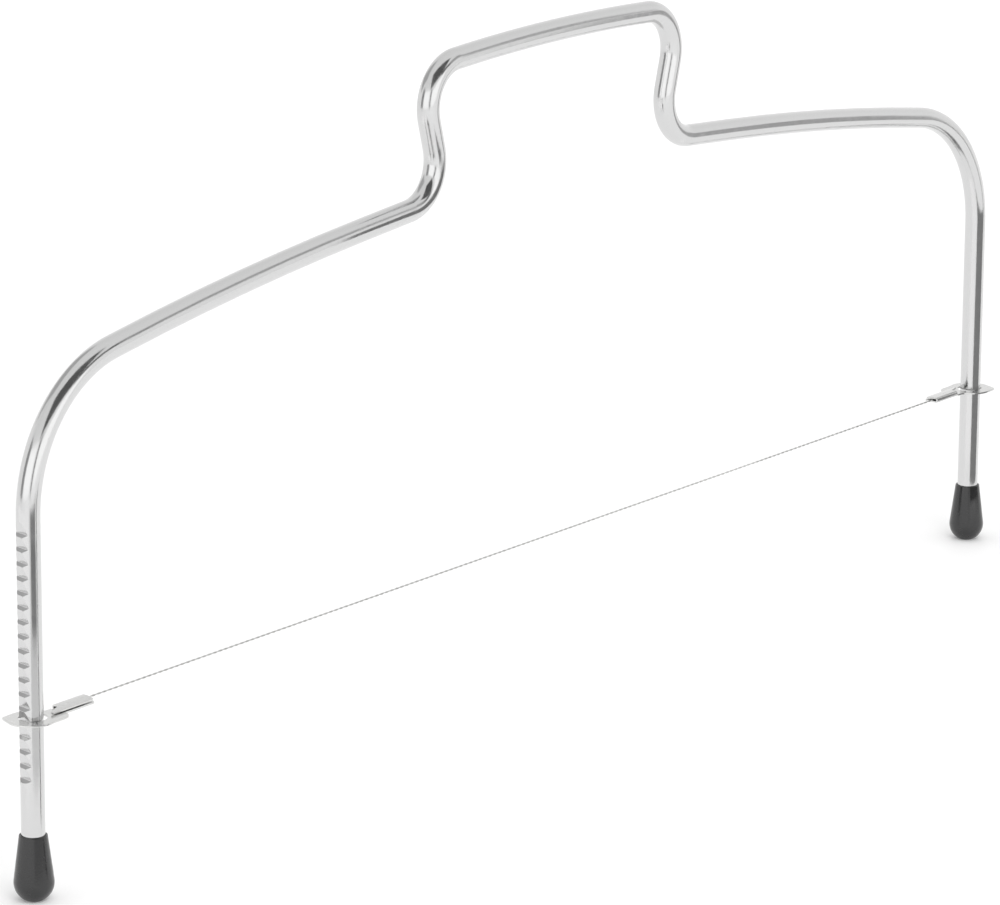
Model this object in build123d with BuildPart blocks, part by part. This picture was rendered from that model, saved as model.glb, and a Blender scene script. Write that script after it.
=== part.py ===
"""Cake leveler: a bent wire frame with two notched legs and a height-set cutting wire.

Millimetres, +Z up. The origin is on the table, midway between the two legs. The
frame lies in the XZ plane, so that X runs along the cutting wire.
"""

from build123d import *
from math import acos, atan2, cos, hypot, pi, radians, sin, tan
import os

# Frame: one round rod, bent in one plane and symmetric about the middle
rod_diameter = 4.8
frame_width = 332.0  # over both legs
leg_above_notches = 0.4  # straight leg between the top notch and the first bend
shoulder_bend_radius = 29.4
shoulder_rise = 16.0  # from the leg's corner up to the neck's corner
shoulder_crown = 2.7  # height of the gentle arch over its chord's middle
neck_width = 74.0  # between the two neck corners, under the grip
neck_bend_radius = 9.4
grip_rise = 28.1  # from the neck's corner up to the grip's corner
grip_width = 89.0  # between the two grip corners
grip_bend_radius = 9.4
grip_crown = 2.4
arch_share = 0.95  # part of a run that its gentle arch takes
rod_end_chamfer = 0.4

# Notches: a short ledge that falls outward, and a long ramp that leads out to the next
notch_count = 18
notch_pitch = 2.93
notch_depth = 0.9  # of the notch's root, below the rod's surface
notch_crest_depth = 0.1  # of the tip between two notches, below the rod's surface
notch_ledge_fall = 0.55  # from the root down to the tip
notch_turn = 10.0  # degrees, from straight outward toward the far side
first_notch_above_foot = 11.7

# Feet: pear-shaped caps with a blind socket for the rod's end
foot_height = 13.4
foot_belly_height = 3.65
foot_belly_wall = 1.65
foot_rim_wall = 0.375
foot_floor = 2.4
foot_rim_bevel = 0.12
socket_clearance = 0.05

# Clips: stamped plates round the legs, each with a tab folded over the wire
clip_notch = 5  # counted from the lowest
clip_thickness = 0.4
clip_seat_clearance = 0.05
clip_hole_clearance = 0.15
clip_flat_clearance = 0.05
clip_hole_play = 0.9  # room that lets the plate leave its notch
hole_corner_round = 1.6  # at both ends of the hole's flat
clip_rim = 2.4  # width of metal round the hole
finger_reach = 5.7  # from the leg's axis to the end of the finger corner
finger_turn = 125.0  # degrees, from the wire's line to the finger corner
finger_round = 1.1
lobe_reach = 2.05  # past the rim, toward the wire
lobe_inset = 0.25  # of the lobe's side edge, inside the rim
lobe_round = 2.2
tab_length = 8.8
tab_side = 2.4  # from the wire's line to the tab's free edge
tab_root_round = 1.6
tab_corner_round = 0.6
fold_side = 1.3  # from the wire's line to the outside of the fold
relief_width = 0.35  # of the notch that lets the fold bend without tearing the plate
flap_gap = 0.3  # between the lobe and the flap
flap_crest = 0.35  # past the wire's line, where the flap starts to slope down
flap_setback = 0.3  # of the flap's free edge from the tab's free edge
flap_edge_gap = 0.12  # under the flap's free edge
tongue_length = 3.4  # of the flap's corner that reaches back over the lobe
tongue_tip = 0.6

# Cutting wire: drawn as its round outside, held between the two layers of each fold
wire_diameter = 0.4
wire_clearance = 0.02
wire_tail = 0.8  # of the wire's end past the flap's end, over the plate

overrun = 1.0  # cuts run this far past the surface that they open


def arch_radius(run, before, corner, after):
    """Radius of the arch at a corner whose arc takes its share of the run beside it."""
    turn = (corner - before).get_angle(after - corner) * pi / 180
    return run * arch_share / tan(turn / 2)


# Sizes that follow from the ones above
rod_radius = rod_diameter / 2
leg_x = frame_width / 2 - rod_radius
lowest_notch = foot_height + first_notch_above_foot
highest_notch = lowest_notch + (notch_count - 1) * notch_pitch
ramp_rise = notch_pitch - notch_ledge_fall
ramp_exit = ramp_rise * notch_depth / (notch_depth - notch_crest_depth)
leg_top = highest_notch + ramp_exit + leg_above_notches
socket_radius = rod_radius + socket_clearance
clip_height = lowest_notch + (clip_notch - 1) * notch_pitch + clip_seat_clearance
hole_half_width = rod_radius + clip_hole_clearance
hole_flat = rod_radius + clip_flat_clearance
ring_radius = hole_half_width + clip_rim
plate_reach = ring_radius + lobe_reach
tab_reach = plate_reach + tab_length
fold_reach = plate_reach + flap_gap
fold_gap = wire_diameter + 2 * wire_clearance
fold_inner = fold_gap / 2
fold_outer = fold_inner + clip_thickness
wire_height = clip_height + clip_thickness + fold_inner
wire_end = leg_x - fold_reach + wire_tail

# Corners of the rod's centre line, from the leg to the middle
run_angle = atan2(shoulder_rise, leg_x - neck_width / 2)
run_length = hypot(shoulder_rise, leg_x - neck_width / 2)
first_turn = pi / 2 - run_angle - atan2(shoulder_crown, run_length / 2)
leg_corner_height = leg_top + shoulder_bend_radius * tan(first_turn / 2)
neck_height = leg_corner_height + shoulder_rise
grip_height = neck_height + grip_rise
leg_foot = Vector(-leg_x, foot_floor)
leg_corner = Vector(-leg_x, leg_corner_height)
neck_corner = Vector(-neck_width / 2, neck_height)
grip_corner = Vector(-grip_width / 2, grip_height)
grip_middle = Vector(0, grip_height + grip_crown)
shoulder_middle = (leg_corner + neck_corner) / 2
shoulder_middle += Vector(-sin(run_angle), cos(run_angle)) * shoulder_crown

# The arches end where the bends beside them begin
neck_turn = (neck_corner - shoulder_middle).get_angle(grip_corner - neck_corner)
grip_turn = (grip_corner - neck_corner).get_angle(grip_middle - grip_corner)
shoulder_free = (neck_corner - shoulder_middle).length - max(
    shoulder_bend_radius * tan(first_turn / 2),
    neck_bend_radius * tan(neck_turn * pi / 360),
)
grip_free = (grip_middle - grip_corner).length - grip_bend_radius * tan(grip_turn * pi / 360)
shoulder_arch = arch_radius(shoulder_free, leg_corner, shoulder_middle, neck_corner)
grip_arch = arch_radius(
    grip_free, grip_corner, grip_middle, Vector(-grip_corner.X, grip_corner.Y)
)

left_half = [leg_foot, leg_corner, shoulder_middle, neck_corner, grip_corner]
left_corners = [(corner.X, corner.Y) for corner in left_half]
right_corners = [(-corner.X, corner.Y) for corner in reversed(left_half)]
left_radii = [shoulder_bend_radius, shoulder_arch, neck_bend_radius, grip_bend_radius]

# Saw-tooth row, as distances out from the leg's axis and heights
root_reach = rod_radius - notch_depth
crest_reach = rod_radius - notch_crest_depth
cut_reach = rod_radius + overrun
cut_share = (cut_reach - root_reach) / (crest_reach - root_reach)
notch_row = [(cut_reach, lowest_notch - notch_ledge_fall * cut_share)]
for notch in range(notch_count):
    root_height = lowest_notch + notch * notch_pitch
    notch_row += [(root_reach, root_height), (crest_reach, root_height + ramp_rise)]
notch_row[-1] = (cut_reach, highest_notch + ramp_rise * cut_share)

# Frame: the swept rod, with a row of notches on the outer side of each leg
with BuildPart() as frame:
    with BuildLine(Plane.XZ) as rod_line:
        FilletPolyline(
            *left_corners,
            (grip_middle.X, grip_middle.Y),
            *right_corners,
            radius=[*left_radii, grip_arch, *reversed(left_radii)],
        )
    with BuildSketch(Plane(rod_line.line @ 0, z_dir=rod_line.line % 0)):
        Circle(rod_radius)
    sweep(path=rod_line.line)
    chamfer(frame.edges().group_by(Axis.Z)[0], rod_end_chamfer)
    for side in (-1, 1):
        outward = Vector(side * cos(radians(notch_turn)), sin(radians(notch_turn)), 0)
        leg_axis = Vector(side * leg_x, 0, 0)
        with BuildSketch(Plane(leg_axis, x_dir=outward, z_dir=outward.cross(Axis.Z.direction))):
            with BuildLine():
                Polyline(*notch_row, close=True)
            make_face()
        extrude(amount=cut_reach, both=True, mode=Mode.SUBTRACT)
frame.part.label = "frame"


def make_foot(axis_x):
    """One moulded foot on a leg whose axis stands at axis_x."""
    belly_radius = rod_radius + foot_belly_wall
    rim_radius = socket_radius + foot_rim_wall
    rise = foot_height - foot_belly_height
    reach = hypot(rim_radius, rise)
    lean = atan2(rise, rim_radius) - acos(belly_radius / reach)
    tangent = (belly_radius * cos(lean), foot_belly_height + belly_radius * sin(lean))
    sole_radius = (belly_radius**2 - foot_belly_height**2) ** 0.5
    with BuildPart() as foot:
        with BuildSketch(Plane((axis_x, 0, 0), x_dir=(1, 0, 0), z_dir=(0, -1, 0))):
            with BuildLine():
                Line((0, 0), (sole_radius, 0))
                ThreePointArc((sole_radius, 0), (belly_radius, foot_belly_height), tangent)
                Line(tangent, (rim_radius, foot_height))
                Line((rim_radius, foot_height), (socket_radius, foot_height))
                Line((socket_radius, foot_height), (socket_radius, foot_floor))
                Line((socket_radius, foot_floor), (0, foot_floor))
                Line((0, foot_floor), (0, 0))
            make_face()
        revolve(axis=Axis((axis_x, 0, 0), (0, 0, 1)))
        chamfer(foot.edges().group_by(Axis.Z)[-1], foot_rim_bevel)
    return foot


left_foot = make_foot(-leg_x)
left_foot.part.label = "left_foot"
right_foot = make_foot(leg_x)
right_foot.part.label = "right_foot"


def make_clip(plate_plane):
    """One clip; the plane's origin is on the leg's axis and its X points along the wire."""
    fold_plane = Plane(
        plate_plane.from_local_coords((fold_reach, 0, 0)),
        x_dir=plate_plane.y_dir,
        z_dir=plate_plane.x_dir,
    )
    lobe_side = lobe_inset - ring_radius
    fold_start = fold_side - fold_outer
    flap_side = flap_setback - tab_side
    # Upper and lower edge of the flap over the wire, and at its free edge
    over_wire = (clip_thickness + fold_gap, 2 * clip_thickness + fold_gap)
    at_edge = (clip_thickness + flap_edge_gap, 2 * clip_thickness + flap_edge_gap)
    with BuildPart() as tongue:
        # Corner of the flap that reaches back over the lobe, narrower toward its tip
        with BuildSketch(fold_plane):
            with BuildLine():
                Polyline(
                    (-flap_crest, over_wire[0]),
                    (flap_side, at_edge[0]),
                    (flap_side, at_edge[1]),
                    (-flap_crest, over_wire[1]),
                    close=True,
                )
            make_face()
        extrude(amount=-tongue_length)
        with BuildSketch(plate_plane):
            with BuildLine():
                Polyline(
                    (fold_reach, -flap_crest),
                    (fold_reach - tongue_length, flap_side + tongue_tip),
                    (fold_reach - tongue_length, flap_side),
                    (fold_reach, flap_side),
                    close=True,
                )
            make_face()
        extrude(amount=over_wire[1] + overrun, mode=Mode.INTERSECT)
    with BuildPart() as clip:
        # Plate: a ring round the leg that runs out to a finger corner, a lobe and the tab
        with BuildSketch(plate_plane):
            Circle(ring_radius)
            with PolarLocations(finger_reach - finger_round, 1, start_angle=finger_turn):
                Circle(finger_round)
            make_hull()
            with BuildLine():
                Polyline(
                    (0, fold_side),
                    (0, lobe_side),
                    (plate_reach, lobe_side),
                    (plate_reach, -tab_side),
                    (tab_reach, -tab_side),
                    (tab_reach, fold_start),
                    (fold_reach - relief_width, fold_start),
                    (fold_reach - relief_width, fold_side),
                    close=True,
                )
            make_face()
        extrude(amount=clip_thickness)
        upright = clip.edges().filter_by(Axis.Z)
        local_x = Axis(plate_plane.origin, plate_plane.x_dir)
        local_y = Axis(plate_plane.origin, plate_plane.y_dir)
        lobe_edge = upright.group_by(local_y)[0].sort_by(local_x)[-1]
        fillet(lobe_edge, lobe_round)
        # Root of the tab, where its straight edge meets the ring
        root = clip.edges().filter_by(Axis.Z).filter_by_position(
            local_x, ring_radius / 2, fold_reach - 2 * relief_width
        ).sort_by(local_y)[-1]
        fillet(root, tab_root_round)
        # Hole: round toward the wire, and flat where it takes the notch
        with BuildSketch(plate_plane) as hole:
            with Locations((clip_hole_play, 0)):
                Circle(hole_half_width)
            with BuildLine():
                Polyline(
                    (-hole_flat, -hole_half_width),
                    (clip_hole_play, -hole_half_width),
                    (clip_hole_play, hole_half_width),
                    (-hole_flat, hole_half_width),
                    close=True,
                )
            make_face()
            fillet(hole.vertices().group_by(Axis.X)[0], hole_corner_round)
        extrude(amount=clip_thickness, mode=Mode.SUBTRACT)
        # Fold and flap: the sheet comes round under, up and back over the wire
        with BuildSketch(fold_plane):
            with BuildLine():
                Line((fold_start, 0), (fold_start, clip_thickness))
                ThreePointArc(
                    (fold_start, clip_thickness),
                    (fold_start + fold_inner, clip_thickness + fold_inner),
                    (fold_start, over_wire[0]),
                )
                Polyline(
                    (fold_start, over_wire[0]),
                    (-flap_crest, over_wire[0]),
                    (flap_side, at_edge[0]),
                    (flap_side, at_edge[1]),
                    (-flap_crest, over_wire[1]),
                    (fold_start, over_wire[1]),
                )
                ThreePointArc(
                    (fold_start, over_wire[1]),
                    (fold_side, clip_thickness + fold_inner),
                    (fold_start, 0),
                )
            make_face()
        extrude(amount=tab_length - flap_gap)
        # Free corners at the end of the tab
        end_edges = clip.edges().filter_by(Axis.Z).group_by(local_x)[-1]
        fillet(end_edges, tab_corner_round)
        add(tongue)
    return clip


left_clip = make_clip(Plane((-leg_x, 0, clip_height), x_dir=(1, 0, 0), z_dir=(0, 0, 1)))
left_clip.part.label = "left_clip"
right_clip = make_clip(Plane((leg_x, 0, clip_height), x_dir=(-1, 0, 0), z_dir=(0, 0, 1)))
right_clip.part.label = "right_clip"

# Cutting wire: straight and taut from fold to fold
with BuildPart() as cutting_wire:
    with BuildSketch(Plane.YZ.offset(-wire_end)):
        with Locations((0, wire_height)):
            Circle(wire_diameter / 2)
    extrude(amount=2 * wire_end)
cutting_wire.part.label = "cutting_wire"

os.makedirs("parts", exist_ok=True)
export_step(frame.part, "parts/frame.step")
export_step(left_foot.part, "parts/left_foot.step")
export_step(right_foot.part, "parts/right_foot.step")
export_step(left_clip.part, "parts/left_clip.step")
export_step(right_clip.part, "parts/right_clip.step")
export_step(cutting_wire.part, "parts/cutting_wire.step")
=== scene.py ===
"""Cake leveler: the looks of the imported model.

Laid out as an add-on with one operator for each piece, and run as a script.
Metres, +Z up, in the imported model's own frame.
"""

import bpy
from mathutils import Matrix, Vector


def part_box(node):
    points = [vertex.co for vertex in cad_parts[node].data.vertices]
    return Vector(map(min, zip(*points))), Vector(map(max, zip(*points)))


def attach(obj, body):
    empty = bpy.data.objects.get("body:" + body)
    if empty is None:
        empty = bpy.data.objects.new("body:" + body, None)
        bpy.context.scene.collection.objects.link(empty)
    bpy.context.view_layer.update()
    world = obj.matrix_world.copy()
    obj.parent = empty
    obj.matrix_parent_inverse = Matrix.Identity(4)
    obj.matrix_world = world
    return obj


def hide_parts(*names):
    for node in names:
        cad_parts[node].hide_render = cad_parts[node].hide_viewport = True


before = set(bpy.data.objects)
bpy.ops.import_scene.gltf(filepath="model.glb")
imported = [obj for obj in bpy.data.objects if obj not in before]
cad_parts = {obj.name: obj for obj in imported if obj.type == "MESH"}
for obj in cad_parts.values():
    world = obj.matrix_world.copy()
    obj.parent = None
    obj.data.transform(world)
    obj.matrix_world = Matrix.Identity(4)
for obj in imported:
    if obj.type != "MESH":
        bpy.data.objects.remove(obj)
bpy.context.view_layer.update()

from math import asin, atan2, ceil, cos, hypot, pi, radians, sin, tan

import bmesh
import bpy
from bpy.props import FloatProperty, FloatVectorProperty, IntProperty, PointerProperty
from mathutils import Matrix, Vector

bl_info = {
    "name": "Cake Leveler",
    "version": (1, 0, 0),
    "blender": (4, 5, 0),
    "location": "3D View > Sidebar > Cake Leveler",
    "description": "Bent rod frame, feet, clips and twisted cutting wire of a cake leveler",
    "category": "Object",
}

MM = 0.001
SAME_PLACE = 2e-6  # vertices nearer than this are one
ON_PLANE = 1e-7  # vertices nearer than this to a cutting plane lie on it
SLIVER = 0.012 * MM  # a notch's corners this near to the rod's own vertices join them
LEVEL_NORMAL = 0.9999  # upward part of a level face's normal, at least
ARCH_SHARE = 0.95  # part of a run that its gentle arch takes
BEND_STEP = radians(3)  # turn from ring to ring in the rod's bends
LEAST_STEPS = 6  # from ring to ring in the gentlest arch
STEPS_PER_LAY = 16  # from ring to ring in one turn of a strand
BOARD_LIFT = 0.1  # what makes the lit floor just white
WHITE = (1, 1, 1, 1)


def linear(hex_colour):
    """Turn an sRGB hex colour into the linear one that a shader takes."""
    parts = [int(hex_colour[place : place + 2], 16) / 255 for place in (1, 3, 5)]
    return [part / 12.92 if part <= 0.04045 else ((part + 0.055) / 1.055) ** 2.4 for part in parts]


def length(name, description, millimetres):
    """A length that the user can set, given here in millimetres."""
    return FloatProperty(
        name=name, description=description, default=millimetres * MM, min=0, precision=5,
        subtype="DISTANCE", unit="LENGTH",
    )


def angle(name, description, degrees):
    """An angle that the user can set, given here in degrees."""
    return FloatProperty(
        name=name, description=description, default=radians(degrees), subtype="ANGLE",
    )


def colour(name, description, hex_colour):
    """A colour that the user can set, given here as sRGB hex."""
    return FloatVectorProperty(
        name=name, description=description, default=linear(hex_colour), min=0, max=1,
        size=3, subtype="COLOR",
    )


class RodSizes(bpy.types.PropertyGroup):
    diameter: length("Diameter", "Diameter of the frame's rod", 4.8)
    width: length("Width", "Width over both legs", 332.0)
    bottom: length("Bottom", "Height of the rod's lower end, inside the foot", 2.4)
    end_chamfer: length("End chamfer", "Chamfer on the rod's end", 0.4)
    leg_top: length("Leg top", "Height at which the leg's first bend starts", 77.9875)
    shoulder_bend: length("Shoulder bend", "Bend radius from leg to shoulder", 29.4)
    shoulder_rise: length("Shoulder rise", "From the leg's corner up to the neck's corner", 16.0)
    shoulder_crown: length("Shoulder crown", "Height of the shoulder's arch over its chord", 2.7)
    neck_width: length("Neck width", "Between the two corners under the grip", 74.0)
    neck_bend: length("Neck bend", "Bend radius at the neck", 9.4)
    grip_rise: length("Grip rise", "From the neck's corner up to the grip's corner", 28.1)
    grip_width: length("Grip width", "Between the two corners of the grip", 89.0)
    grip_bend: length("Grip bend", "Bend radius at the grip's corners", 9.4)
    grip_crown: length("Grip crown", "Height of the grip's arch over its corners", 2.4)
    sides: IntProperty(
        name="Sides", description="Facets round the rod", default=96, min=24, max=192
    )


class NotchSizes(bpy.types.PropertyGroup):
    count: IntProperty(name="Count", description="Notches on each leg", default=18, min=1)
    pitch: length("Pitch", "Height from one notch to the next", 2.93)
    depth: length("Depth", "Depth of a notch's root", 0.9)
    crest_depth: length("Crest depth", "Depth of the tip between two notches", 0.1)
    ledge_fall: length("Ledge fall", "From a notch's root down to its tip", 0.55)
    lowest: length("Lowest", "Height of the lowest notch's root", 25.1)
    turn: angle("Turn", "From straight outward toward the far side", 10)
    edge_round: length("Edge round", "Width of the rolled edge round each notch", 0.07)


class FootSizes(bpy.types.PropertyGroup):
    height: length("Height", "Height of the foot", 13.4)
    belly_height: length("Belly height", "Height of the belly's centre", 3.65)
    belly_radius: length("Belly radius", "Radius of the round belly", 4.05)
    socket_radius: length("Socket radius", "Radius of the socket round the rod", 2.45)
    rim_wall: length("Rim wall", "Thickness of the lip at the rim", 0.375)
    floor: length("Floor", "Plastic under the rod's end", 2.4)
    edge_round: length("Edge round", "Rounding of the rim and the sole", 0.12)


class ClipSizes(bpy.types.PropertyGroup):
    edge_round: length("Edge round", "Rounding of the stamped edges", 0.08)
    thickness: length("Thickness", "Thickness of the sheet", 0.4)
    hole_reach: length("Hole reach", "From the leg's axis to the hole's outer edge, solid", 2.45)
    notch_reach: length("Notch reach", "The same, with the edge drawn into its notch", 2.03)
    hole_half_width: length("Hole half width", "Half the width of the hole", 2.55)


class WireSizes(bpy.types.PropertyGroup):
    strand: length("Strand", "Diameter of one strand", 0.2)
    lay: length("Lay", "Length of wire in which a strand goes round once", 3.3)
    height: length("Height", "Height of the wire's line", 37.49)
    end: length("End", "Distance of the wire's ends from the middle", 157.1)


class Finishes(bpy.types.PropertyGroup):
    plating: colour("Plating", "Colour of the plated rod", "#d5d5d5")
    clip: colour("Clip steel", "Colour of the clips", "#dbdbda")
    wire: colour("Wire steel", "Colour of the cutting wire", "#c8c8c6")
    plastic: colour("Foot plastic", "Colour of the moulded feet", "#161617")
    floor: colour("Floor", "Colour of the floor", "#f4f4f4")


class StudioSizes(bpy.types.PropertyGroup):
    distance: length("Camera distance", "From the camera to the point that it aims at", 1195.0)
    azimuth: angle("Azimuth", "Heading of the view, from +Y toward +X", 51.71)
    descent: angle("Descent", "Angle by which the camera looks down", 15.47)
    roll: angle("Roll", "Turn of the camera about its own line of sight", -0.39)
    target: FloatVectorProperty(
        name="Target", description="Point that the camera aims at",
        default=(-17.2 * MM, 0, 59.7 * MM), size=3, subtype="TRANSLATION", unit="LENGTH",
    )
    lens: FloatProperty(
        name="Lens", description="Focal length in millimetres on a 36 mm wide sensor",
        default=201.96,
    )


def deselect():
    """Leave object mode with nothing selected."""
    if bpy.context.object and bpy.context.object.mode != "OBJECT":
        bpy.ops.object.mode_set(mode="OBJECT")
    bpy.ops.object.select_all(action="DESELECT")


def select_only(piece):
    """Make a piece the active one and the only one selected."""
    deselect()
    piece.select_set(True)
    bpy.context.view_layer.objects.active = piece


def edit(piece):
    """Take one piece alone into edit mode."""
    select_only(piece)
    bpy.ops.object.mode_set(mode="EDIT")


def pick(kind, test):
    """Select what passes the test in the mesh being edited: kind is VERT, EDGE or FACE."""
    bpy.ops.mesh.select_mode(type=kind)
    bpy.ops.mesh.select_all(action="DESELECT")
    mesh = bmesh.from_edit_mesh(bpy.context.edit_object.data)
    parts = {"VERT": mesh.verts, "EDGE": mesh.edges, "FACE": mesh.faces}[kind]
    for part in parts:
        if test(part):
            part.select_set(True)
    mesh.select_flush_mode()
    bmesh.update_edit_mesh(bpy.context.edit_object.data)


def at_height(height):
    """A test for edges that lie level at a height."""
    return lambda edge: all(abs(vertex.co.z - height) < SAME_PLACE for vertex in edge.verts)


def cut_flat(on_plane, out_of_plane, fill=False):
    """Bisect the mesh being edited by a plane and drop what stands out of the plane."""
    bpy.ops.mesh.select_all(action="SELECT")
    bpy.ops.mesh.bisect(
        plane_co=on_plane, plane_no=Vector(out_of_plane).normalized(), use_fill=fill,
        clear_outer=True, threshold=ON_PLANE,
    )


def drop_caps(low, high):
    """Take off the level faces at two heights."""
    pick("FACE", lambda face: abs(face.normal.z) > LEVEL_NORMAL and any(
        abs(face.calc_center_median().z - height) < SAME_PLACE for height in (low, high)
    ))
    bpy.ops.mesh.delete(type="ONLY_FACE")


def apply_modifier(piece, kind, **settings):
    """Add a modifier with its settings and apply it."""
    select_only(piece)
    modifier = piece.modifiers.new(kind.title(), kind)
    for name, value in settings.items():
        setattr(modifier, name, value)
    bpy.ops.object.modifier_apply(modifier=modifier.name)


def join(pieces, name, weld=SAME_PLACE):
    """Join pieces into the first one, weld them where they meet and name the result."""
    deselect()
    for piece in pieces:
        piece.select_set(True)
    bpy.context.view_layer.objects.active = pieces[0]
    bpy.ops.object.join()
    pieces[0].name = pieces[0].data.name = name
    edit(pieces[0])
    bpy.ops.mesh.select_all(action="SELECT")
    bpy.ops.mesh.remove_doubles(threshold=weld)
    bpy.ops.object.mode_set(mode="OBJECT")
    return pieces[0]


def place_in_mesh(piece):
    """Put a piece's place into its mesh, with the object itself at the origin."""
    select_only(piece)
    bpy.ops.object.transform_apply(location=True, rotation=True, scale=True)


def smooth(piece, degrees):
    """Turn all faces outward and shade them smooth up to an angle."""
    edit(piece)
    bpy.ops.mesh.select_all(action="SELECT")
    bpy.ops.mesh.normals_make_consistent(inside=False)
    bpy.ops.object.mode_set(mode="OBJECT")
    bpy.ops.object.shade_smooth_by_angle(angle=radians(degrees))


def node(tree, kind, inputs=None, **settings):
    """Add a shader node; an input takes a value, or a socket that it is linked from."""
    made = tree.nodes.new(kind)
    for name, value in settings.items():
        setattr(made, name, value)
    for name, value in (inputs or {}).items():
        if isinstance(value, bpy.types.NodeSocket):
            tree.links.new(value, made.inputs[name])
        else:
            made.inputs[name].default_value = value
    return made


def new_material(name):
    """A material and its node tree, still empty."""
    material = bpy.data.materials.new(name)
    material.use_nodes = True
    material.node_tree.nodes.clear()
    return material, material.node_tree


def grain(tree, where, scale, detail, roughness=0.5, stretch=(1, 1, 1)):
    """Noise over a piece's own coordinates, at a scale in patches per metre."""
    mapping = node(tree, "ShaderNodeMapping", {"Vector": where, "Scale": stretch})
    return node(tree, "ShaderNodeTexNoise", {
        "Vector": mapping.outputs["Vector"], "Scale": scale, "Detail": detail,
        "Roughness": roughness,
    }).outputs["Fac"]


def plated_rod(finishes):
    """Drawn steel rod with bright nickel-chrome plating.

    The die leaves faint marks along the rod, so that the sharp reflections are drawn
    out into fine stripes, and the plating over them is slightly cloudy and flecked.
    Real die marks are a few hundredths of a millimetre wide. They are drawn ten times
    as wide, so that they show.
    """
    material, tree = new_material("nickel_chrome_plated_rod")
    straight = node(tree, "ShaderNodeAttribute", attribute_name="before_bending")
    where = straight.outputs["Vector"]
    cloud = grain(tree, where, 500, 3)  # 2 mm across
    waver = grain(tree, where, 320, 2)  # 3 mm across
    # Marks 0.4 mm wide and 32 mm long, and flecks 0.45 mm wide and 1.3 mm long
    marks = grain(tree, where, 2600, 3, roughness=0.6, stretch=(1, 1, 0.012))
    flecks = grain(tree, where, 2200, 2, stretch=(1, 1, 0.35))
    soft = node(tree, "ShaderNodeBump", {
        "Strength": 0.3, "Distance": 0.05 * MM, "Height": waver,
    })
    fine = node(tree, "ShaderNodeBump", {
        "Strength": 0.35, "Distance": 0.012 * MM, "Height": marks,
        "Normal": soft.outputs["Normal"],
    })
    flecked = node(tree, "ShaderNodeBump", {
        "Strength": 0.3, "Distance": 0.014 * MM, "Height": flecks,
        "Normal": fine.outputs["Normal"],
    })
    dullness = node(tree, "ShaderNodeMapRange", {
        "Value": cloud, "From Min": 0.3, "From Max": 0.7, "To Min": 0.12, "To Max": 0.20,
    })
    shader = node(tree, "ShaderNodeBsdfPrincipled", {
        "Base Color": (*finishes.plating, 1), "Metallic": 1.0,
        "Roughness": dullness.outputs["Result"], "Normal": flecked.outputs["Normal"],
    })
    node(tree, "ShaderNodeOutputMaterial", {"Surface": shader.outputs["BSDF"]})
    return material


def clip_steel(finishes):
    """Cold-rolled steel sheet with a thin zinc coat, stamped and folded.

    The coat gives a satin surface with faint cloudy mottling.
    """
    material, tree = new_material("zinc_coated_sheet_steel")
    where = node(tree, "ShaderNodeTexCoord").outputs["Object"]
    cloud = grain(tree, where, 900, 4)  # 1.1 mm across
    speck = grain(tree, where, 5000, 2)  # 0.2 mm across
    shade = node(tree, "ShaderNodeMapRange", {
        "Value": cloud, "From Min": 0.3, "From Max": 0.7, "To Min": 0.92, "To Max": 1.0,
    })
    tint = node(tree, "ShaderNodeMix", {
        "Factor": 1.0, "A": (*finishes.clip, 1), "B": shade.outputs["Result"],
    }, data_type="RGBA", blend_type="MULTIPLY")
    fine = node(tree, "ShaderNodeBump", {
        "Strength": 0.2, "Distance": 0.01 * MM, "Height": speck,
    })
    dullness = node(tree, "ShaderNodeMapRange", {
        "Value": cloud, "From Min": 0.3, "From Max": 0.7, "To Min": 0.16, "To Max": 0.28,
    })
    shader = node(tree, "ShaderNodeBsdfPrincipled", {
        "Base Color": tint.outputs["Result"], "Metallic": 1.0,
        "Roughness": dullness.outputs["Result"], "Normal": fine.outputs["Normal"],
    })
    node(tree, "ShaderNodeOutputMaterial", {"Surface": shader.outputs["BSDF"]})
    return material


def wire_steel(finishes):
    """Hard-drawn stainless wire, twisted bare: bright along the strands, dull between them."""
    material, tree = new_material("drawn_stainless_wire")
    where = node(tree, "ShaderNodeTexCoord").outputs["Object"]
    speck = grain(tree, where, 4000, 2, stretch=(0.2, 1, 1))  # 0.25 mm wide and 1.3 mm long
    dullness = node(tree, "ShaderNodeMapRange", {
        "Value": speck, "From Min": 0.3, "From Max": 0.7, "To Min": 0.22, "To Max": 0.34,
    })
    shader = node(tree, "ShaderNodeBsdfPrincipled", {
        "Base Color": (*finishes.wire, 1), "Metallic": 1.0,
        "Roughness": dullness.outputs["Result"],
    })
    node(tree, "ShaderNodeOutputMaterial", {"Surface": shader.outputs["BSDF"]})
    return material


def foot_plastic(finishes):
    """Moulded soft PVC, charcoal: glossy, with a finely pebbled and slightly mottled skin."""
    material, tree = new_material("moulded_soft_pvc")
    where = node(tree, "ShaderNodeTexCoord").outputs["Object"]
    cloud = grain(tree, where, 700, 3)  # 1.4 mm across
    skin = grain(tree, where, 2600, 3)  # 0.4 mm across
    pebbled = node(tree, "ShaderNodeBump", {
        "Strength": 0.55, "Distance": 0.03 * MM, "Height": skin,
    })
    dullness = node(tree, "ShaderNodeMapRange", {
        "Value": cloud, "From Min": 0.3, "From Max": 0.7, "To Min": 0.12, "To Max": 0.30,
    })
    shader = node(tree, "ShaderNodeBsdfPrincipled", {
        "Base Color": (*finishes.plastic, 1), "IOR": 1.53, "Specular IOR Level": 0.7,
        "Roughness": dullness.outputs["Result"], "Normal": pebbled.outputs["Normal"],
    })
    node(tree, "ShaderNodeOutputMaterial", {"Surface": shader.outputs["BSDF"]})
    return material


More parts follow.
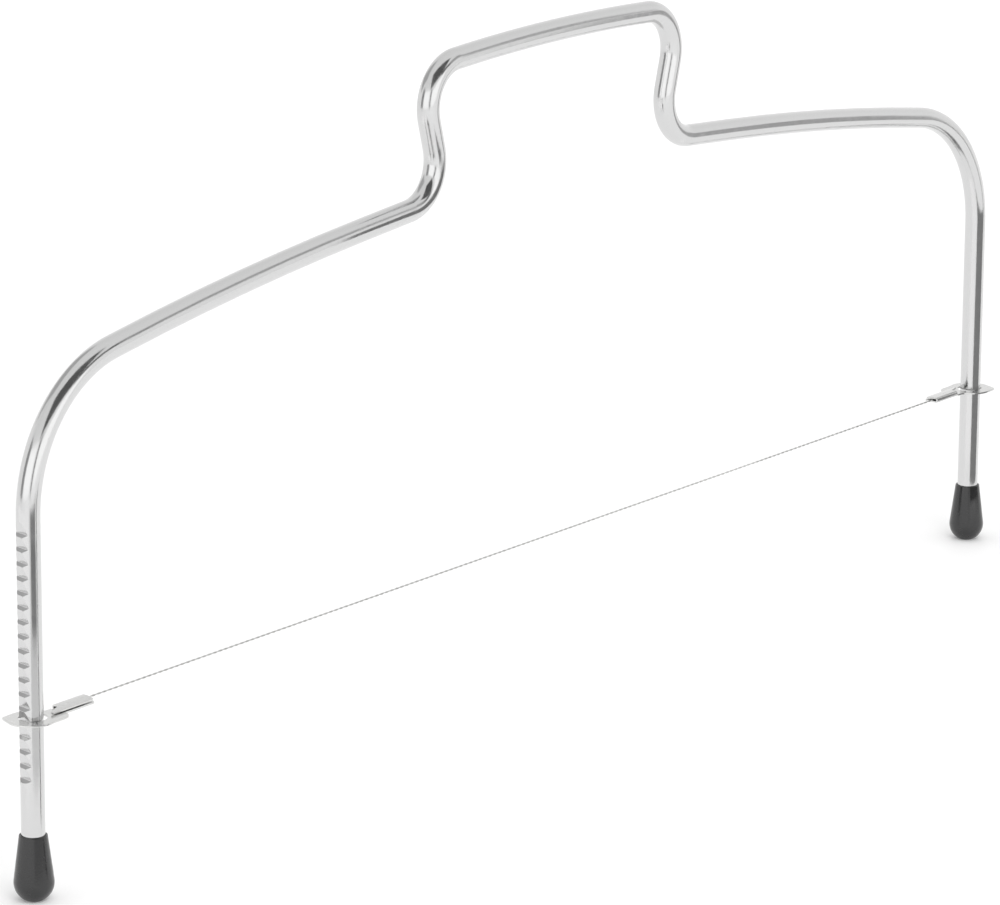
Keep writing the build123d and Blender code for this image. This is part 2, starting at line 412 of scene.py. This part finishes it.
def studio_floor(finishes):
    """Matt white board; the camera and gloss see it just white, with the object's shadow.

    Far out, where the lamps hardly reach, the camera sees it lifted more.
    """
    material, tree = new_material("matt_white_board")
    board = node(tree, "ShaderNodeBsdfDiffuse", {"Color": (*finishes.floor, 1)})
    rays = node(tree, "ShaderNodeLightPath")
    seen = rays.outputs["Is Camera Ray"]
    for kind in ("Is Glossy Ray", "Is Transmission Ray"):
        seen = node(
            tree, "ShaderNodeMath", {0: seen, 1: rays.outputs[kind]}, operation="MAXIMUM"
        ).outputs["Value"]
    place = node(tree, "ShaderNodeTexCoord").outputs["Object"]
    distance = node(tree, "ShaderNodeVectorMath", {0: place}, operation="LENGTH")
    rise = node(tree, "ShaderNodeMapRange", {
        "Value": distance.outputs["Value"], "From Min": 0.4, "From Max": 1.2,
        "To Min": 0.0, "To Max": 0.15,
    })
    far = node(tree, "ShaderNodeMath", {
        0: rays.outputs["Is Camera Ray"], 1: rise.outputs["Result"],
    }, operation="MULTIPLY")
    lift = node(tree, "ShaderNodeMath", {
        0: seen, 1: BOARD_LIFT, 2: far.outputs["Value"],
    }, operation="MULTIPLY_ADD")
    glow = node(tree, "ShaderNodeEmission", {
        "Color": WHITE, "Strength": lift.outputs["Value"],
    })
    both = node(tree, "ShaderNodeAddShader", {
        0: board.outputs["BSDF"], 1: glow.outputs["Emission"],
    })
    node(tree, "ShaderNodeOutputMaterial", {"Surface": both.outputs["Shader"]})
    return material


class LEVELER_OT_bend_rod(bpy.types.Operator):
    """Bend the plated rod, with its two rows of notches"""

    bl_idname = "leveler.bend_rod"
    bl_label = "Bend Rod"
    bl_options = {"REGISTER", "UNDO"}

    def slice_of_rod(self, low, high, on_plane, out_of_plane):
        """A short open length of rod with its side cut off flat by a plane."""
        sizes = bpy.context.scene.leveler_rod
        bpy.ops.object.select_all(action="DESELECT")
        bpy.ops.mesh.primitive_cylinder_add(
            vertices=sizes.sides, radius=sizes.diameter / 2, depth=high - low,
            location=(self.leg_x, 0, (low + high) / 2),
        )
        piece = bpy.context.object
        place_in_mesh(piece)
        edit(piece)
        cut_flat(on_plane, out_of_plane, fill=True)
        drop_caps(low, high)
        bpy.ops.object.mode_set(mode="OBJECT")
        return piece

    def notched_length(self):
        """The leg's open length from the notches' toe, where they start, to its first bend."""
        sizes, notch = bpy.context.scene.leveler_rod, bpy.context.scene.leveler_notches
        outward = Vector((-cos(notch.turn), sin(notch.turn), 0))
        axis = Vector((self.leg_x, 0, 0))
        ramp_rise = notch.pitch - notch.ledge_fall
        cut = notch.depth - notch.crest_depth
        ledge_normal = outward * notch.ledge_fall + Vector((0, 0, cut))
        ramp_normal = outward * ramp_rise - Vector((0, 0, cut))
        root = axis + outward * (sizes.diameter / 2 - notch.depth)
        lowest = root + Vector((0, 0, notch.lowest))
        highest = lowest + Vector((0, 0, (notch.count - 1) * notch.pitch))
        crest = notch.lowest - notch.ledge_fall
        top_crest = highest.z + ramp_rise
        self.toe = crest - notch.ledge_fall
        toe = self.slice_of_rod(self.toe, crest, lowest, ledge_normal)
        ledge = self.slice_of_rod(crest, notch.lowest, lowest, ledge_normal)
        ramp = self.slice_of_rod(notch.lowest, notch.lowest + ramp_rise, lowest, ramp_normal)
        run_out = self.slice_of_rod(top_crest, sizes.leg_top, highest, ramp_normal)
        one_notch = join([ledge, ramp], "notch")
        apply_modifier(
            one_notch, "ARRAY", count=notch.count, use_relative_offset=False,
            use_constant_offset=True, constant_offset_displace=(0, 0, notch.pitch),
            use_merge_vertices=True, merge_threshold=SAME_PLACE,
        )
        return [one_notch, toe, run_out]

    def lower_end(self):
        """The leg's lower end, from inside the foot up to the notches' toe."""
        sizes = bpy.context.scene.leveler_rod
        radius = sizes.diameter / 2
        bpy.ops.object.select_all(action="DESELECT")
        bpy.ops.mesh.primitive_circle_add(
            vertices=sizes.sides, radius=radius - sizes.end_chamfer, fill_type="NGON",
            location=(self.leg_x, 0, sizes.bottom),
        )
        piece = bpy.context.object
        place_in_mesh(piece)
        edit(piece)
        bpy.ops.mesh.select_all(action="SELECT")
        bpy.ops.mesh.extrude_region_move(
            TRANSFORM_OT_translate={"value": (0, 0, sizes.end_chamfer)}
        )
        widen = radius / (radius - sizes.end_chamfer)
        bpy.ops.transform.resize(
            value=(widen, widen, 1),
            center_override=(self.leg_x, 0, sizes.bottom + sizes.end_chamfer),
        )
        bpy.ops.mesh.extrude_region_move(
            TRANSFORM_OT_translate={"value": (0, 0, self.toe - sizes.bottom - sizes.end_chamfer)}
        )
        bpy.ops.mesh.delete(type="ONLY_FACE")
        return piece

    def corners(self):
        """Corners of the rod's line after the leg, with their bend radii, to the middle."""
        sizes = bpy.context.scene.leveler_rod
        run = -self.leg_x - sizes.neck_width / 2
        run_angle = atan2(sizes.shoulder_rise, run)
        run_length = hypot(sizes.shoulder_rise, run)
        first_turn = pi / 2 - run_angle - atan2(sizes.shoulder_crown, run_length / 2)
        corner_height = sizes.leg_top + sizes.shoulder_bend * tan(first_turn / 2)
        leg = Vector((self.leg_x, 0, corner_height))
        neck = Vector((-sizes.neck_width / 2, 0, corner_height + sizes.shoulder_rise))
        grip = Vector((-sizes.grip_width / 2, 0, neck.z + sizes.grip_rise))
        middle = Vector((0, 0, grip.z + sizes.grip_crown))
        arch = (leg + neck) / 2
        arch += Vector((-sin(run_angle), 0, cos(run_angle))) * sizes.shoulder_crown
        neck_turn = (neck - arch).angle(grip - neck)
        grip_turn = (grip - neck).angle(middle - grip)
        arch_free = (neck - arch).length - max(
            sizes.shoulder_bend * tan(first_turn / 2), sizes.neck_bend * tan(neck_turn / 2)
        )
        grip_free = (middle - grip).length - sizes.grip_bend * tan(grip_turn / 2)
        arch_bend = ARCH_SHARE * arch_free / tan((arch - leg).angle(neck - arch) / 2)
        grip_arch = ARCH_SHARE * grip_free / tan(atan2(middle.z - grip.z, middle.x - grip.x))
        return [
            (leg, sizes.shoulder_bend), (arch, arch_bend), (neck, sizes.neck_bend),
            (grip, sizes.grip_bend), (middle, grip_arch),
        ]

    def run_and_bend(self, place, heading, corner, onward, bend, share=1.0):
        """Extrude the selected ring up to a bend and spin it round a share of that.

        Gives where the ring ends.
        """
        turn = heading.angle(onward)
        straight = (corner - place).length - bend * tan(turn / 2)
        if straight > SAME_PLACE:
            bpy.ops.mesh.extrude_region_move(
                TRANSFORM_OT_translate={"value": heading * straight}
            )
            self.runs.append((place, heading, straight, 0, None))
            place = place + heading * straight
        swing = turn * share
        hand = 1 if heading.x * onward.z - heading.z * onward.x > 0 else -1
        centre = place + Vector((-heading.z, 0, heading.x)) * hand * bend
        self.runs.append((place, heading, swing * bend, hand * bend, centre))
        bpy.ops.mesh.spin(
            steps=max(LEAST_STEPS, ceil(swing / BEND_STEP)), angle=swing,
            center=centre, axis=(0, hand, 0),
        )
        return centre + Matrix.Rotation(-hand * swing, 3, "Y") @ (place - centre)

    def bend_left_half(self, rod):
        """Draw the leg's top ring along the rod's line to the middle.

        Each run is kept as its start, heading, length, signed bend radius and centre.
        """
        sizes = bpy.context.scene.leveler_rod
        corners = self.corners()
        edit(rod)
        pick("EDGE", at_height(sizes.leg_top))
        place = Vector((self.leg_x, 0, sizes.leg_top))
        heading = Vector((0, 0, 1))
        below = Vector((self.leg_x, 0, sizes.bottom))
        self.runs = [(below, heading, (place - below).length, 0, None)]
        for (corner, bend), (following, _) in zip(corners, corners[1:]):
            onward = (following - corner).normalized()
            place = self.run_and_bend(place, heading, corner, onward, bend)
            heading = onward
        # Only half of the grip's arch, up to the middle
        corner, bend = corners[-1]
        onward = Vector((heading.x, 0, -heading.z))
        self.run_and_bend(place, heading, corner, onward, bend, share=0.5)
        bpy.ops.object.mode_set(mode="OBJECT")

    def note_straight_places(self, rod):
        """Keep each vertex's place on the straight rod, before bending, as an attribute.

        The drawing marks run along the rod and go round its bends with it. A vertex
        belongs to the run that it misses least.
        """
        half = sum(run[2] for run in self.runs)
        places = []
        for vertex in rod.data.vertices:
            at = Vector((-abs(vertex.co.x), 0, vertex.co.z))
            best, before = None, 0
            for start, heading, run, bend, centre in self.runs:
                if bend:
                    spoke = at - centre
                    from_start = (start - centre).normalized()
                    swing = atan2(spoke.dot(heading), spoke.dot(from_start))
                    along = swing * abs(bend)
                    off = (abs(bend) - spoke.length) * (1 if bend > 0 else -1)
                else:
                    along = (at - start).dot(heading)
                    off = (at - start).dot(Vector((-heading.z, 0, heading.x)))
                miss = max(0, -along, along - run) + abs(off)
                if best is None or miss < best[0]:
                    best = (miss, off, before + min(max(along, 0), run))
                before += run
            mirrored = 1 if vertex.co.x > 0 else -1
            places += [best[1], vertex.co.y, mirrored * (half - best[2])]
        attribute = rod.data.attributes.new("before_bending", "FLOAT_VECTOR", "POINT")
        attribute.data.foreach_set("vector", places)

    def execute(self, context):
        sizes, notch = context.scene.leveler_rod, context.scene.leveler_notches
        self.leg_x = -(sizes.width / 2 - sizes.diameter / 2)
        notched = self.notched_length()
        rod = join([self.lower_end(), *notched], "bent_rod", weld=SLIVER)
        self.bend_left_half(rod)
        apply_modifier(rod, "MIRROR", merge_threshold=SAME_PLACE)
        apply_modifier(
            rod, "BEVEL", width=notch.edge_round, segments=2, limit_method="ANGLE",
            angle_limit=radians(25), use_clamp_overlap=False,
        )
        smooth(rod, degrees=35)
        apply_modifier(rod, "WEIGHTED_NORMAL", keep_sharp=True, weight=80)
        self.note_straight_places(rod)
        rod.data.materials.append(plated_rod(context.scene.leveler_finishes))
        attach(rod, "frame")
        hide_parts("frame")
        return {"FINISHED"}


class LEVELER_OT_mould_feet(bpy.types.Operator):
    """Mould the two feet that cap the legs"""

    bl_idname = "leveler.mould_feet"
    bl_label = "Mould Feet"
    bl_options = {"REGISTER", "UNDO"}

    def foot(self, name, axis_x):
        """One foot: a round belly, drawn up to a lip and down into a blind socket."""
        sizes = bpy.context.scene.leveler_feet
        bpy.ops.object.select_all(action="DESELECT")
        bpy.ops.mesh.primitive_uv_sphere_add(
            segments=64, ring_count=48, radius=sizes.belly_radius,
            location=(axis_x, 0, sizes.belly_height),
        )
        piece = bpy.context.object
        place_in_mesh(piece)
        # The straight neck from the rim touches the belly at its shoulder
        rim = sizes.socket_radius + sizes.rim_wall
        rise = sizes.height - sizes.belly_height
        lean = atan2(rise, rim) - (pi / 2 - asin(sizes.belly_radius / hypot(rim, rise)))
        shoulder = sizes.belly_height + sizes.belly_radius * sin(lean)
        edit(piece)
        cut_flat((axis_x, 0, 0), (0, 0, -1), fill=True)
        cut_flat((axis_x, 0, shoulder), (0, 0, 1))
        pick("EDGE", at_height(shoulder))
        now, height = sizes.belly_radius * cos(lean), shoulder
        for radius, level in (
            (rim, sizes.height),
            (sizes.socket_radius, sizes.height),
            (sizes.socket_radius, sizes.floor),
        ):
            bpy.ops.mesh.extrude_region_move(
                TRANSFORM_OT_translate={"value": (0, 0, level - height)}
            )
            bpy.ops.transform.resize(
                value=(radius / now, radius / now, 1), center_override=(axis_x, 0, level)
            )
            now, height = radius, level
        bpy.ops.mesh.edge_face_add()
        bpy.ops.object.mode_set(mode="OBJECT")
        apply_modifier(
            piece, "BEVEL", width=sizes.edge_round, segments=3, limit_method="ANGLE",
            angle_limit=radians(40),
        )
        smooth(piece, degrees=40)
        piece.name = piece.data.name = name
        return piece

    def execute(self, context):
        material = foot_plastic(context.scene.leveler_finishes)
        leg_x = context.scene.leveler_rod.width / 2 - context.scene.leveler_rod.diameter / 2
        for side, axis_x in (("left", -leg_x), ("right", leg_x)):
            piece = self.foot(side + "_moulded_foot", axis_x)
            piece.data.materials.append(material)
            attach(piece, "frame")
            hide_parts(side + "_foot")
        return {"FINISHED"}


class LEVELER_OT_stamp_clips(bpy.types.Operator):
    """Make the two clips that hold the wire from the imported stamped and folded ones"""

    bl_idname = "leveler.stamp_clips"
    bl_label = "Stamp Clips"
    bl_options = {"REGISTER", "UNDO"}

    def execute(self, context):
        sizes, rod = context.scene.leveler_clips, context.scene.leveler_rod
        leg_x = rod.width / 2 - rod.diameter / 2
        plate_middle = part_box("left_clip")[0].z + sizes.thickness / 2
        material = clip_steel(context.scene.leveler_finishes)
        for side in ("left", "right"):
            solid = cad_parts[side + "_clip"]
            name = side + "_stamped_clip"
            piece = bpy.data.objects.new(name, solid.data.copy())
            context.scene.collection.objects.link(piece)
            edit(piece)
            bpy.ops.mesh.select_all(action="SELECT")
            bpy.ops.mesh.remove_doubles(threshold=SAME_PLACE)
            bpy.ops.mesh.customdata_custom_splitnormals_clear()
            bpy.ops.mesh.dissolve_limited(angle_limit=radians(0.5))
            # The pull of the wire draws the hole's outer edge into the notch
            pick("VERT", lambda vertex: (
                abs(vertex.co.y) < sizes.hole_half_width + SAME_PLACE
                and 0 < abs(vertex.co.x) - leg_x < sizes.hole_reach + SAME_PLACE
                and abs(vertex.co.z - plate_middle) < sizes.thickness
            ))
            bpy.ops.transform.resize(
                value=(sizes.notch_reach / sizes.hole_reach, 1, 1),
                center_override=(leg_x if side == "right" else -leg_x, 0, plate_middle),
            )
            bpy.ops.object.mode_set(mode="OBJECT")
            apply_modifier(
                piece, "BEVEL", width=sizes.edge_round, segments=2, limit_method="ANGLE",
                angle_limit=radians(40), use_clamp_overlap=False,
            )
            smooth(piece, degrees=35)
            apply_modifier(piece, "WEIGHTED_NORMAL", keep_sharp=True, weight=80)
            piece.data.name = name
            piece.data.materials.clear()
            piece.data.materials.append(material)
            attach(piece, side + "_clip")
            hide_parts(side + "_clip")
        return {"FINISHED"}


class LEVELER_OT_twist_wire(bpy.types.Operator):
    """Twist the cutting wire from two strands"""

    bl_idname = "leveler.twist_wire"
    bl_label = "Twist Wire"
    bl_options = {"REGISTER", "UNDO"}

    def execute(self, context):
        sizes = context.scene.leveler_wire
        turns = 2 * sizes.end / sizes.lay
        steps = ceil(turns * STEPS_PER_LAY)
        strands = []
        for offset in (-sizes.strand / 2, sizes.strand / 2):
            bpy.ops.object.select_all(action="DESELECT")
            bpy.ops.mesh.primitive_circle_add(
                vertices=10, radius=sizes.strand / 2, fill_type="NGON",
                location=(-sizes.end, 0, sizes.height + offset), rotation=(0, -pi / 2, 0),
            )
            strand = context.object
            place_in_mesh(strand)
            # A strand is wound round the X axis, so it is lowered for that and put back
            strand.location = (0, 0, -sizes.height)
            place_in_mesh(strand)
            apply_modifier(
                strand, "SCREW", axis="X", angle=2 * pi * turns, screw_offset=2 * sizes.end,
                steps=steps, render_steps=steps, use_merge_vertices=False,
                use_normal_calculate=True,
            )
            strand.location = (0, 0, sizes.height)
            place_in_mesh(strand)
            strands.append(strand)
        wire = join(strands, "twisted_wire")
        smooth(wire, degrees=60)
        wire.data.materials.append(wire_steel(context.scene.leveler_finishes))
        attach(wire, "left_clip")
        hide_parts("cutting_wire")
        return {"FINISHED"}


# Lamps: name, place, point that it shines at, its width and height, and watts
LAMPS = (
    ("key_softbox", (-0.5, -0.9, 1.1), (0, 0, 0.06), (0.7, 0.7), 4),
    ("fill_softbox", (1.1, 0.6, 0.9), (0, 0, 0.06), (0.6, 0.6), 2),
)

# Cards that the plating and the feet reflect, in millimetres and degrees: name, point
# that it stands round, azimuth, rise, distance, width, height and tone
LEFT_LEG, RIGHT_LEG = (-163.6, 0, 45), (163.6, 0, 45)
MIDDLE = (0, 0, 70)
CARDS = (
    ("overhead_felt", MIDDLE, 246, 52, 1200, 1300, 860, 0.11),
    ("falling_felt", MIDDLE, 292, 30, 1190, 560, 260, 0.16),
    ("left_shoulder_felt", (-95, 0, 104), 317, 31, 400, 130, 100, 0.46),
    ("grip_felt", (0, 0, 149), 322, 17, 400, 90, 120, 0.5),
    ("right_shoulder_felt", (95, 0, 104), 323, -1, 400, 130, 205, 0.46),
    ("ledge_felt", LEFT_LEG, 82, 44, 400, 260, 260, 0.5),
    ("front_softbox", MIDDLE, 266, 9, 1500, 1500, 700, 1.35),
    ("side_softbox", MIDDLE, 192, 12, 1500, 1336, 860, 1.35),
    ("front_gap_felt", MIDDLE, 229, 10, 1400, 170, 800, 0.14),
    ("side_edge_felt", MIDDLE, 152, 12, 1400, 560, 800, 0.34),
    ("right_leg_felt", (163.6, 0, 44.5), 273, 0, 12, 18, 67, 0.26),
    ("right_leg_board", RIGHT_LEG, 202, -15, 80, 66, 80, 1.15),
    ("left_leg_board", LEFT_LEG, 175, -15, 80, 200, 80, 1.15),
    ("left_leg_grey_card", LEFT_LEG, 261, -15, 80, 96, 80, 0.78),
    ("left_leg_top_felt", (-163.6, 0, 67), 266, -15, 72, 62, 30, 0.24),
    ("left_leg_felt", LEFT_LEG, 302, -15, 60, 8, 80, 0.14),
    ("left_upright_felt", (-41, 0, 125), 298, -21, 24, 32, 12, 0.22),
)


class LEVELER_OT_set_stage(bpy.types.Operator):
    """Set the white floor, the soft light, the cards round the object and the camera"""

    bl_idname = "leveler.set_stage"
    bl_label = "Set Stage"
    bl_options = {"REGISTER", "UNDO"}

    def lay_floor(self, context):
        """A board that runs far past the object on all sides."""
        bpy.ops.object.select_all(action="DESELECT")
        bpy.ops.mesh.primitive_plane_add(size=8, location=(0, 0, 0))
        floor = context.object
        floor.name = "floor"
        floor.data.materials.append(studio_floor(context.scene.leveler_finishes))

    def light_world(self, context):
        """White all round for the camera, and a room of soft light on the object.

        The room is white low down, as the background is, and falls off a little
        overhead, more behind the object than in front of it.
        """
        world = bpy.data.worlds.new("studio")
        world.use_nodes = True
        tree = world.node_tree
        tree.nodes.clear()
        rays = node(tree, "ShaderNodeLightPath")
        seen = node(tree, "ShaderNodeMath", {
            0: rays.outputs["Is Camera Ray"], 1: rays.outputs["Is Transmission Ray"],
        }, operation="MAXIMUM")
        heading = node(tree, "ShaderNodeTexCoord").outputs["Generated"]
        parts = node(tree, "ShaderNodeSeparateXYZ", {"Vector": heading})
        overhead = node(tree, "ShaderNodeMapRange", {
            "Value": parts.outputs["Z"], "From Min": 0.25, "From Max": 0.65,
            "To Min": 0.0, "To Max": 0.3,
        })
        behind = node(tree, "ShaderNodeMapRange", {
            "Value": parts.outputs["Y"], "From Min": -0.6, "From Max": 0.6,
            "To Min": 0.25, "To Max": 0.5,
        })
        fall = node(tree, "ShaderNodeMath", {
            0: overhead.outputs["Result"], 1: behind.outputs["Result"],
        }, operation="MULTIPLY")
        level = node(tree, "ShaderNodeMath", {
            0: 1.0, 1: fall.outputs["Value"],
        }, operation="SUBTRACT")
        white = node(tree, "ShaderNodeBackground", {"Color": WHITE, "Strength": 1.0})
        soft = node(tree, "ShaderNodeBackground", {
            "Color": WHITE, "Strength": level.outputs["Value"],
        })
        mixed = node(tree, "ShaderNodeMixShader", {
            0: seen.outputs["Value"], 1: soft.outputs["Background"], 2: white.outputs["Background"],
        })
        node(tree, "ShaderNodeOutputWorld", {"Surface": mixed.outputs["Shader"]})
        context.scene.world = world

    def hang_lamp(self, name, place, aim, size, power):
        """A soft rectangular lamp that shines from one place toward another."""
        lamp = bpy.data.lights.new(name, "AREA")
        lamp.shape = "RECTANGLE"
        lamp.size, lamp.size_y = size
        lamp.energy = power
        holder = bpy.data.objects.new(name, lamp)
        bpy.context.scene.collection.objects.link(holder)
        holder.location = place
        aimed = Vector(aim) - Vector(place)
        holder.rotation_euler = aimed.to_track_quat("-Z", "Y").to_euler()
        holder.visible_glossy = False

    def hang_card(self, name, aim, azimuth, rise, distance, width, height, tone):
        """A card round a point of the object, which gloss reflects and nothing else meets.

        Azimuth is from +X toward +Y and rise is above the horizon, as seen from the
        point.
        """
        around, up = radians(azimuth), radians(rise)
        toward = Vector((cos(around) * cos(up), sin(around) * cos(up), sin(up)))
        place = (Vector(aim) + toward * distance) * MM
        bpy.ops.object.select_all(action="DESELECT")
        bpy.ops.mesh.primitive_plane_add(
            size=1, location=place, rotation=toward.to_track_quat("Z", "Y").to_euler()
        )
        card = bpy.context.object
        card.name = name
        card.scale = (width * MM, height * MM, 1)
        material, tree = new_material(name)
        face = node(tree, "ShaderNodeEmission", {"Color": WHITE, "Strength": tone})
        node(tree, "ShaderNodeOutputMaterial", {"Surface": face.outputs["Emission"]})
        card.data.materials.append(material)
        card.visible_camera = card.visible_diffuse = card.visible_shadow = False
        card.visible_transmission = card.visible_volume_scatter = False

    def place_camera(self, context):
        """The camera at the photograph's viewing angle."""
        studio = context.scene.leveler_studio
        azimuth, descent = studio.azimuth, studio.descent
        forward = Vector((
            sin(azimuth) * cos(descent), cos(azimuth) * cos(descent), -sin(descent)
        ))
        right = Vector((cos(azimuth), -sin(azimuth), 0))
        down = forward.cross(right)
        rolled = right * cos(studio.roll) + down * sin(studio.roll)
        below = down * cos(studio.roll) - right * sin(studio.roll)
        camera_data = bpy.data.cameras.new("camera")
        camera_data.sensor_width = 36
        camera_data.lens = studio.lens
        camera_data.clip_start = 0.05
        camera = bpy.data.objects.new("camera", camera_data)
        context.scene.collection.objects.link(camera)
        turn = Matrix((rolled, -below, -forward)).transposed()
        place = Vector(studio.target) - forward * studio.distance
        camera.matrix_world = Matrix.Translation(place) @ turn.to_4x4()
        context.scene.camera = camera

    def execute(self, context):
        self.lay_floor(context)
        self.light_world(context)
        for lamp in LAMPS:
            self.hang_lamp(*lamp)
        for card in CARDS:
            self.hang_card(*card)
        self.place_camera(context)
        context.scene.view_settings.view_transform = "Standard"
        return {"FINISHED"}


class LEVELER_PT_panel(bpy.types.Panel):
    """Sizes, finishes and operators of the cake leveler"""

    bl_idname = "LEVELER_PT_panel"
    bl_label = "Cake Leveler"
    bl_space_type = "VIEW_3D"
    bl_region_type = "UI"
    bl_category = "Cake Leveler"

    def draw(self, context):
        for title, group, operator in STEPS:
            box = self.layout.box()
            box.label(text=title)
            settings = getattr(context.scene, group)
            for name in settings.__annotations__:
                box.prop(settings, name)
            if operator:
                box.operator(operator)


# What the panel lists: title, group of settings and operator
STEPS = (
    ("Rod", "leveler_rod", None),
    ("Notches", "leveler_notches", "leveler.bend_rod"),
    ("Feet", "leveler_feet", "leveler.mould_feet"),
    ("Clips", "leveler_clips", "leveler.stamp_clips"),
    ("Wire", "leveler_wire", "leveler.twist_wire"),
    ("Finishes", "leveler_finishes", None),
    ("Studio", "leveler_studio", "leveler.set_stage"),
)
GROUPS = {
    "leveler_rod": RodSizes,
    "leveler_notches": NotchSizes,
    "leveler_feet": FootSizes,
    "leveler_clips": ClipSizes,
    "leveler_wire": WireSizes,
    "leveler_finishes": Finishes,
    "leveler_studio": StudioSizes,
}
CLASSES = (
    *GROUPS.values(),
    LEVELER_OT_bend_rod,
    LEVELER_OT_mould_feet,
    LEVELER_OT_stamp_clips,
    LEVELER_OT_twist_wire,
    LEVELER_OT_set_stage,
    LEVELER_PT_panel,
)


def register():
    for made in CLASSES:
        bpy.utils.register_class(made)
    for name, group in GROUPS.items():
        setattr(bpy.types.Scene, name, PointerProperty(type=group))


def unregister():
    for name in GROUPS:
        delattr(bpy.types.Scene, name)
    for made in reversed(CLASSES):
        bpy.utils.unregister_class(made)


def main():
    register()
    deselect()
    bpy.ops.leveler.bend_rod()
    bpy.ops.leveler.mould_feet()
    bpy.ops.leveler.stamp_clips()
    bpy.ops.leveler.twist_wire()
    bpy.ops.leveler.set_stage()
    deselect()


if __name__ == "__main__":
    main()
